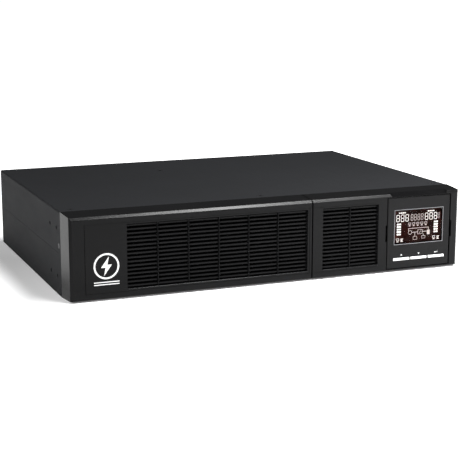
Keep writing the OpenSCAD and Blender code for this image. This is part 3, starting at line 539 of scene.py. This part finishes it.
def on_fold(edge):
    """The long folds round the outside of a bezel's face."""
    return (on_lines(edge, 1, FOLD_Y) and edge.calc_length() > LONG_FOLD
            and not on_lines(edge, 2, GROOVE_Z + RECESS_Z + POCKET_Z) and not on_recess(edge))


def on_recess(edge):
    """The four edges of a grille's recess at the face."""
    if not on_lines(edge, 1, (FRONT,)):
        return False
    ends = {round(v.co.z / MM, 1) for v in edge.verts}
    upright = (edge.calc_length() < TALLEST_RECESS
               and abs(edge.verts[0].co.x - edge.verts[1].co.x) < 0.01 * MM)
    return on_lines(edge, 2, RECESS_Z) or (upright and ends == {round(z / MM, 1) for z in RECESS_Z})


def on_face(edge):
    """The edges round the display housing's face."""
    return on_lines(edge, 1, (FRONT, FRONT + HOUSING_CHAMFER))


# Width of the rounding, shortest edge that gets it, and the edges it is for.
BEZEL_ROUNDS = ((0.3 * MM, 60 * MM, on_fold), (0.4 * MM, 60 * MM, on_recess))
HOUSING_ROUND = (0.2 * MM, 30 * MM, on_face)
eased_copy("left_bezel", "battery_door_bezel", *BEZEL_ROUNDS, trim=sharpen_louvres)
eased_copy("right_bezel", "fixed_bezel", *BEZEL_ROUNDS, trim=sharpen_louvres)
eased_copy("display_housing", "display_moulding", HOUSING_ROUND)

# ------------------------------------------------------------ the door mark

INK = 0.03 * MM
MARK_X = CASE_LEFT + 38.1 * MM
MARK_Z = 35 * MM
MARK_R = 13 * MM
MARK_LINE = 1.7 * MM
BOLT = ((2.6, 9.6), (-5.6, -1.4), (-0.9, -1.4), (-2.6, -9.6), (5.6, 1.4), (0.9, 1.4))
BARS_Z = ((18.6, 19.5), (16.2, 17.1))

mark = bmesh.new()
add_ring(mark, MARK_X, MARK_Z, MARK_R, MARK_R - MARK_LINE, FRONT, INK, 64)
add_plate(mark, [(MARK_X + x * MM, MARK_Z + z * MM) for x, z in BOLT], FRONT, INK)
for low, high in BARS_Z:
    add_rectangle(mark, MARK_X - MARK_R, low * MM, MARK_X + MARK_R, high * MM, FRONT, INK)
piece_from(mark, "door_mark", "left_panel", WHITE_INK)

# -------------------------------------------------------------- the display

WINDOW_LOW, WINDOW_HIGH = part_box("display_window")
WINDOW_W = WINDOW_HIGH.x - WINDOW_LOW.x
WINDOW_H = WINDOW_HIGH.z - WINDOW_LOW.z
WINDOW_LEDGE = 1.5 * MM
WINDOW_HIGHLIGHT_WIDTH = 0.5 * MM
FILM_Y = WINDOW_HIGH.y + 0.15 * MM
FILM_THICK = 0.1 * MM
BIG_STROKE = 0.52 * MM
SMALL_STROKE = 0.4 * MM
BAR_NICK = 0.12 * MM
THIN_LINE = 0.25 * MM


def across(share):
    """X at a share of the window's width from its left."""
    return WINDOW_LOW.x + share * WINDOW_W


def down(share):
    """Z at a share of the window's height from its top."""
    return WINDOW_HIGH.z - share * WINDOW_H


def screen_bar(bm, left, top, right, bottom):
    add_rectangle(bm, across(left), down(bottom), across(right), down(top), FILM_Y, INK)


def screen_box(bm, left, top, right, bottom, line=0.35 * MM):
    add_border(bm, across(left), down(bottom), across(right), down(top), line, FILM_Y, INK)


def screen_digit(bm, left, top, right, bottom, stroke):
    """All seven bars of one digit, pointed at both ends."""
    half = stroke / 2
    x0, x1 = across(left) + half, across(right) - half
    z0, z1 = down(bottom) + half, down(top) - half
    for z in (z0, (z0 + z1) / 2, z1):
        xa, xb = x0 + BAR_NICK, x1 - BAR_NICK
        add_plate(bm, [(xa, z), (xa + half, z - half), (xb - half, z - half), (xb, z),
                       (xb - half, z + half), (xa + half, z + half)], FILM_Y, INK)
    for x in (x0, x1):
        for low, high in ((z0, (z0 + z1) / 2), ((z0 + z1) / 2, z1)):
            za, zb = low + BAR_NICK, high - BAR_NICK
            add_plate(bm, [(x, za), (x + half, za + half), (x + half, zb - half), (x, zb),
                           (x - half, zb - half), (x - half, za + half)], FILM_Y, INK)


def screen_digits(bm, left, top, right, bottom, count, stroke, gap):
    """A row of digits side by side, gap apart."""
    width = (right - left - (count - 1) * gap) / count
    for i in range(count):
        start = left + i * (width + gap)
        screen_digit(bm, start, top, start + width, bottom, stroke)


film = bmesh.new()
add_rectangle(film, WINDOW_LOW.x + WINDOW_LEDGE, WINDOW_LOW.z + WINDOW_LEDGE,
              WINDOW_HIGH.x - WINDOW_LEDGE, WINDOW_HIGH.z - WINDOW_LEDGE, FILM_Y + FILM_THICK, FILM_THICK)
piece_from(film, "screen_film", "display_module", FINISHES["lcd_glass"])

# Places on the screen are shares of the window: left, top, right, bottom.
CORNER_LINES = ((0.01, 0.915, 0.05, 0.93), (0.09, 0.845, 0.14, 0.86),
                (0.09, 0.88, 0.13, 0.895), (0.09, 0.915, 0.14, 0.93))
FLOW_METER = (0.335, 0.68)
FLOW_BOXES = ((0.49, 0.62, 0.59, 0.745), (0.40, 0.80, 0.48, 0.90), (0.575, 0.80, 0.65, 0.88))
FLOW_BARS = ((0.685, 0.645, 0.74, 0.775), (0.30, 0.56, 0.715, 0.572), (0.375, 0.675, 0.49, 0.687),
             (0.59, 0.675, 0.685, 0.687), (0.43, 0.687, 0.438, 0.80), (0.30, 0.572, 0.308, 0.655),
             (0.707, 0.572, 0.715, 0.645), (0.605, 0.745, 0.613, 0.80))
FLOW_STROKE = ((0.52, 0.71), (0.56, 0.655), (0.565, 0.66), (0.525, 0.715))

bright = bmesh.new()
for caption_left in (0.10, 0.69):
    for i in range(4):
        left = caption_left + 0.036 * i
        screen_bar(bright, left, 0.085, left + 0.028, 0.115)
for left, right in ((0.05, 0.30), (0.635, 0.885)):
    screen_digits(bright, left, 0.15, right, 0.35, 3, BIG_STROKE, 0.026)
for left in (0.065, 0.825):
    for i in range(5):
        top = 0.40 + 0.072 * i
        screen_bar(bright, left, top, left + 0.036, top + 0.046)
        screen_bar(bright, left + 0.044, top, left + 0.08, top + 0.046)
for corner_left in (0.055, 0.80):
    screen_box(bright, corner_left, 0.83, corner_left + 0.055, 0.895, THIN_LINE)
    for left, top, right, bottom in CORNER_LINES:
        screen_bar(bright, corner_left + left, top, corner_left + right, bottom)
piece_from(bright, "screen_segments", "display_module", SEGMENT_LIGHT)

faint = bmesh.new()
screen_digits(faint, 0.345, 0.16, 0.60, 0.34, 4, SMALL_STROKE, 0.022)
for top in (0.175, 0.265):
    screen_box(faint, 0.905, top, 0.94, top + 0.065, THIN_LINE)
for i in range(5):
    left = 0.295 + 0.083 * i
    screen_box(faint, left, 0.40, left + 0.055, 0.455)
    screen_bar(faint, left + 0.012, 0.475, left + 0.045, 0.50)
add_ring(faint, across(FLOW_METER[0]), down(FLOW_METER[1]), 2.3 * MM, 1.9 * MM, FILM_Y, INK, 28)
for box in FLOW_BOXES:
    screen_box(faint, *box)
for bar in FLOW_BARS:
    screen_bar(faint, *bar)
add_plate(faint, [(across(u), down(v)) for u, v in FLOW_STROKE], FILM_Y, INK)
piece_from(faint, "screen_diagram", "display_module", SEGMENT_DIM)

# The light line painted round the display window is a painted highlight on its edge, not print.
outline = bmesh.new()
add_border(outline, WINDOW_LOW.x, WINDOW_LOW.z, WINDOW_HIGH.x, WINDOW_HIGH.z,
           WINDOW_HIGHLIGHT_WIDTH, WINDOW_LOW.y, INK)
piece_from(outline, "window_edge_highlight", "display_module", WINDOW_EDGE_HIGHLIGHT)

# -------------------------------------------------------------- the buttons

# Each button's node, its body and the outline of its symbol in millimetres.
BUTTON_PARTS = (
    ("button_up", "up_button", ((-1, -0.7), (1, -0.7), (0, 0.9))),
    ("button_down", "down_button", ((-1, 0.7), (0, -0.9), (1, 0.7))),
    ("button_enter", "enter_button", (
        (-1.9, -0.2), (-0.8, -1), (-0.8, -0.4), (1.9, -0.4), (1.9, 0.9), (1.5, 0.9), (1.5, 0), (-0.8, 0),
        (-0.8, 0.6))),
)
CAP_INSET = 0.6 * MM
CAP_DEPTH = 5 * MM
CAP_EASE = 0.25 * MM
FLANGE_THICK = 1.2 * MM
FLANGE_INSET = 0.3 * MM
STEM_R = 1 * MM
STEM_SUNK = 0.5 * MM
SYMBOL_LIFT = 4.6 * MM

symbols = bmesh.new()
for node_name, body, shape in BUTTON_PARTS:
    low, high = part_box(node_name)
    middle = Vector(((low.x + CAP_INSET + high.x) / 2, 0, (low.z + high.z) / 2))
    cap = bmesh.new()
    back = low.y + CAP_DEPTH
    add_block(cap, (low.x + CAP_INSET, low.y, low.z), (high.x, back, high.z), CAP_EASE, 3)
    add_block(cap, (low.x, back - FLANGE_THICK, low.z + FLANGE_INSET),
              (high.x - FLANGE_INSET, back, high.z - FLANGE_INSET), 0.1 * MM)
    add_rod(cap, (middle.x, back - STEM_SUNK, middle.z), (middle.x, high.y, middle.z), STEM_R)
    cap_piece = piece_from(cap, node_name + "_cap", body, FINISHES["button_white"])
    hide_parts(node_name)
    x, z = middle.x, middle.z + SYMBOL_LIFT
    add_plate(symbols, [(x + dx * MM, z + dz * MM) for dx, dz in shape], FRONT, INK)
piece_from(symbols, "button_symbols", "display_module", WHITE_INK)

# ---------------------------------------------------------- the finger guard

GUARD_LOW, GUARD_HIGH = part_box("fan_guard")
GUARD_MIDDLE = (GUARD_LOW + GUARD_HIGH) / 2
GUARD_RINGS = (12 * MM, 20 * MM, 28 * MM, 36 * MM)
WIRE = 0.75 * MM
WIRE_SIDES = 10
RING_STEPS = 64
EYE_STEPS = 28
EYE_REACH = 4.4 * MM


def add_wire_ring(bm, x, y, z, radius, wire, steps):
    """A ring of round wire about a line along Y."""
    made = bmesh.ops.create_circle(bm, segments=WIRE_SIDES, radius=wire,
                                   matrix=Matrix.Translation((x + radius, y, z)))
    loop = edges_at(made["verts"])
    bmesh.ops.spin(bm, geom=made["verts"] + loop, cent=(x, y, z), axis=(0, 1, 0), dvec=(0, 0, 0),
                   angle=math.tau, steps=steps, use_merge=True)


guard = bmesh.new()
for radius in GUARD_RINGS:
    add_wire_ring(guard, GUARD_MIDDLE.x, GUARD_HIGH.y - 2 * WIRE, GUARD_MIDDLE.z, radius, WIRE, RING_STEPS)
eye_out = (GUARD_HIGH.x - GUARD_LOW.x) / 2 - EYE_REACH
rod_out = eye_out - EYE_REACH * 0.6
rod_y = GUARD_HIGH.y - WIRE
for side in (-1, 1):
    add_rod(guard, (GUARD_MIDDLE.x - rod_out, rod_y, GUARD_MIDDLE.z - side * rod_out),
            (GUARD_MIDDLE.x + rod_out, rod_y, GUARD_MIDDLE.z + side * rod_out), WIRE, WIRE_SIDES)
    for up in (-1, 1):
        add_wire_ring(guard, GUARD_MIDDLE.x + side * eye_out, GUARD_LOW.y + WIRE,
                      GUARD_MIDDLE.z + up * eye_out, EYE_REACH - WIRE, WIRE, EYE_STEPS)
bmesh.ops.recalc_face_normals(guard, faces=guard.faces)
guard_piece = piece_from(guard, "wire_finger_guard", body_of(nodes["fan_guard"])[0],
                         FINISHES["steel_screw"])
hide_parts("fan_guard")

# ---------------------------------------------------------------- the stage

CAMERA_PLACE = Vector((-0.5113, -1.3061, 0.3193))
CAMERA_YAW = math.radians(21.85)
CAMERA_DIP = math.radians(11.79)
CAMERA_LENS = 97.84
CAMERA_SENSOR = 36
camera_data = bpy.data.cameras.new("camera")
camera_data.sensor_width = CAMERA_SENSOR
camera_data.lens = CAMERA_LENS
camera_data.clip_start = 0.05
camera = bpy.data.objects.new("camera", camera_data)
bpy.context.scene.collection.objects.link(camera)
camera.location = CAMERA_PLACE
looking = Vector((math.sin(CAMERA_YAW) * math.cos(CAMERA_DIP),
                  math.cos(CAMERA_YAW) * math.cos(CAMERA_DIP),
                  -math.sin(CAMERA_DIP)))
camera.rotation_euler = looking.to_track_quat("-Z", "Y").to_euler()
bpy.context.scene.camera = camera
bpy.context.scene.view_settings.view_transform = "Standard"


def softbox(name, place, aim, width, height, power, spread=180):
    """A rectangular studio light at place, facing aim."""
    light = bpy.data.lights.new(name, "AREA")
    light.shape = "RECTANGLE"
    light.size = width
    light.size_y = height
    light.energy = power
    light.spread = math.radians(spread)
    lamp = bpy.data.objects.new(name, light)
    bpy.context.scene.collection.objects.link(lamp)
    lamp.location = place
    lamp.rotation_euler = (Vector(aim) - Vector(place)).to_track_quat("-Z", "Y").to_euler()


softbox("key_light", (-1.1, -0.95, 0.7), (0.35, -0.16, 0.04), 0.2, 0.2, 2.4, spread=50)
softbox("side_light", (-2.4, 0.1, 1.1), (-0.2, 0, 0.04), 0.8, 0.8, 9)
softbox("top_light", (0.68, -0.55, 1.9), (0.0, -0.13, 0.06), 1.5, 0.29, 82)
softbox("right_light", (0.42, -0.5, 0.75), (0.36, -0.36, 0.0), 0.3, 0.3, 2.0, spread=70)

SKY_LEVEL = 0.06
world = bpy.data.worlds.new("studio")
world.use_nodes = True
dim_sky = world.node_tree.nodes["Background"]
dim_sky.inputs["Color"].default_value = (0.97, 0.98, 1.0, 1.0)
dim_sky.inputs["Strength"].default_value = SKY_LEVEL
backdrop = world.node_tree.nodes.new("ShaderNodeBackground")
backdrop.inputs["Color"].default_value = (1.0, 1.0, 1.0, 1.0)
ray_kind = world.node_tree.nodes.new("ShaderNodeLightPath")
either = world.node_tree.nodes.new("ShaderNodeMixShader")
for start, end in ((ray_kind.outputs["Is Camera Ray"], either.inputs["Fac"]),
                   (dim_sky.outputs[0], either.inputs[1]),
                   (backdrop.outputs[0], either.inputs[2]),
                   (either.outputs[0], world.node_tree.nodes["World Output"].inputs["Surface"])):
    world.node_tree.links.new(start, end)
bpy.context.scene.world = world

# The floor glows, but less close to the case, so that its mirror image in the front stays dark.
FLOOR_HALF = 16.0
FLOOR_DROP = 0.1 * MM
SPOT_MIDDLE = (-0.2, -0.35, 0.0)
SPOT_REACH = (0.4, 1.2)
SPOT_GLOW = 0.15
floor_mesh = bmesh.new()
bmesh.ops.create_grid(floor_mesh, x_segments=2, y_segments=2, size=FLOOR_HALF)
bmesh.ops.translate(floor_mesh, verts=floor_mesh.verts, vec=(0, 0, cad_box[0].z - FLOOR_DROP))
floor_shader = Shader("studio_floor", Roughness=0.9, Specular_IOR_Level=0.1, Emission_Strength=1.0)
floor_tone = floor_shader.even(floor_shader.noise(3, 2.0))
from_spot = floor_shader.node("ShaderNodeVectorMath", {"operation": "SUBTRACT"}, {
    0: floor_shader.place(), 1: SPOT_MIDDLE}, "Vector")
away = floor_shader.node("ShaderNodeVectorMath", {"operation": "LENGTH"}, {0: from_spot}, "Value")
floor_shader.feed(
    Base_Color=floor_shader.mix(floor_tone, grey(0.86), grey(0.9)),
    Emission_Color=floor_shader.mix(
        floor_shader.spread(away, 0.0, 1.0, *SPOT_REACH), grey(SPOT_GLOW), grey(1.0)))
floor = bpy.data.objects.new("floor", bpy.data.meshes.new("floor"))
floor_mesh.to_mesh(floor.data)
floor_mesh.free()
bpy.context.scene.collection.objects.link(floor)
finish(floor, floor_shader.material)
